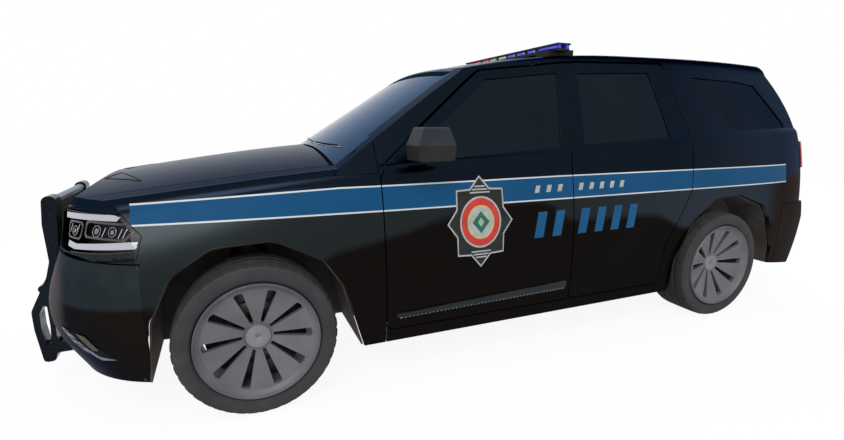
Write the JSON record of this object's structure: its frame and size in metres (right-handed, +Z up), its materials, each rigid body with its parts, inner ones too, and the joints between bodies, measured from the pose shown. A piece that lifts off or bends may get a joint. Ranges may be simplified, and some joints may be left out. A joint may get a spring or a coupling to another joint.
{
  "type": "police patrol car, three-row sport-utility vehicle",
  "caption": "Police patrol sport-utility car with hinged doors, hood and tailgate, steered and rolling wheels, roof light bar and push bumper.",
  "frame": {"origin": "on the ground, in the middle of the overall length and width", "axes": "+X forwards along the car, +Y to its left, +Z up"},
  "size_m": [5.274, 2.14, 1.8259],
  "materials": {
    "paint": "gloss",
    "lower_trim": "satin",
    "black_plastic": "satin",
    "tyre": "matte",
    "rim": "satin",
    "glass": "clear",
    "lamp": "clear",
    "tail_lamp": "clear",
    "blue_lens": "clear",
    "red_lens": "clear",
    "steel": "satin",
    "seat": "woven",
    "bare_steel": "satin",
    "push_bar": "gloss"
  },
  "bodies": {
    "body": {"cowl_panel": "black_plastic", "dashboard": "black_plastic", "engine_block": "steel", "exhaust": "bare_steel", "firewall": "steel", "front_bumper": "lower_trim", "front_fenders": "paint", "front_seat_backs": "seat", "front_seat_cushions": "seat", "front_suspension": "steel", "grille": "black_plastic", "headlamps": "lamp", "light_bar": "black_plastic", "light_bar_blue": "blue_lens", "light_bar_red": "red_lens", "push_bumper": "push_bar", "quarter_windows": "glass", "rear_bumper": "lower_trim", "rear_seat_back": "seat", "rear_seat_cushion": "seat", "rear_suspension": "steel", "roof_panel": "paint", "seat_frames": "steel", "side_frame_left": "paint", "side_frame_right": "paint", "tail_lamps": "tail_lamp", "underbody": "steel", "wheelhouse_liners": "black_plastic", "windshield": "glass"},
    "wheel_front_left": {"tyre_front_left": "tyre", "rim_front_left": "rim"},
    "front_door_left": {"front_door_left": "paint", "front_door_glass_left": "glass", "mirror_left": "paint"},
    "wheel_front_right": {"tyre_front_right": "tyre", "rim_front_right": "rim"},
    "front_door_right": {"front_door_right": "paint", "front_door_glass_right": "glass", "mirror_right": "paint"},
    "wheel_rear_left": {"tyre_rear_left": "tyre", "rim_rear_left": "rim"},
    "rear_door_left": {"rear_door_left": "paint", "rear_door_glass_left": "glass"},
    "wheel_rear_right": {"tyre_rear_right": "tyre", "rim_rear_right": "rim"},
    "rear_door_right": {"rear_door_right": "paint", "rear_door_glass_right": "glass"},
    "steering_knuckle_left": {"knuckle_left": "bare_steel"},
    "steering_knuckle_right": {"knuckle_right": "bare_steel"},
    "hood": {"hood": "paint"},
    "tailgate": {"tailgate": "paint", "tailgate_glass": "glass"},
    "steering_wheel": {"steering_wheel": "black_plastic"}
  },
  "joints": [
    {"name": "steer_left", "type": "hinge", "parent": "body", "child": "steering_knuckle_left", "pos_m": [1.597, 0.82, 0.37], "axis": [0, 0, 1], "range_deg": [-35, 35]},
    {"name": "roll_front_left", "type": "hinge", "parent": "steering_knuckle_left", "child": "wheel_front_left", "pos_m": [1.597, 0.865, 0.37], "axis": [0, 1, 0], "continuous": true},
    {"name": "roll_rear_left", "type": "hinge", "parent": "body", "child": "wheel_rear_left", "pos_m": [-1.446, 0.865, 0.37], "axis": [0, 1, 0], "continuous": true},
    {"name": "front_door_left", "type": "hinge", "parent": "body", "child": "front_door_left", "pos_m": [1.023, 0.938, 0.7], "axis": [0, 0, -1], "range_deg": [0, 65]},
    {"name": "rear_door_left", "type": "hinge", "parent": "body", "child": "rear_door_left", "pos_m": [-0.145, 0.938, 0.7], "axis": [0, 0, -1], "range_deg": [0, 68]},
    {"name": "steer_right", "type": "hinge", "parent": "body", "child": "steering_knuckle_right", "pos_m": [1.597, -0.82, 0.37], "axis": [0, 0, 1], "range_deg": [-35, 35]},
    {"name": "roll_front_right", "type": "hinge", "parent": "steering_knuckle_right", "child": "wheel_front_right", "pos_m": [1.597, -0.865, 0.37], "axis": [0, 1, 0], "continuous": true},
    {"name": "roll_rear_right", "type": "hinge", "parent": "body", "child": "wheel_rear_right", "pos_m": [-1.446, -0.865, 0.37], "axis": [0, 1, 0], "continuous": true},
    {"name": "front_door_right", "type": "hinge", "parent": "body", "child": "front_door_right", "pos_m": [1.023, -0.938, 0.7], "axis": [0, 0, 1], "range_deg": [0, 65]},
    {"name": "rear_door_right", "type": "hinge", "parent": "body", "child": "rear_door_right", "pos_m": [-0.145, -0.938, 0.7], "axis": [0, 0, 1], "range_deg": [0, 68]},
    {"name": "hood", "type": "hinge", "parent": "body", "child": "hood", "pos_m": [1.092, 0, 1.138], "axis": [0, -1, 0], "range_deg": [0, 50]},
    {"name": "tailgate", "type": "hinge", "parent": "body", "child": "tailgate", "pos_m": [-2.093, 0, 1.768], "axis": [0, 1, 0], "range_deg": [0, 78]},
    {"name": "steering_wheel", "type": "hinge", "parent": "body", "child": "steering_wheel", "pos_m": [0.432, 0.39, 1.015], "axis": [-0.8988, 0, 0.4384], "range_deg": [-507.5, 507.5]}
  ],
  "couplings": [
    {"joint": "steer_right", "follows": "steer_left", "ratio": 1},
    {"joint": "steering_wheel", "follows": "steer_left", "ratio": 14.5}
  ]
}
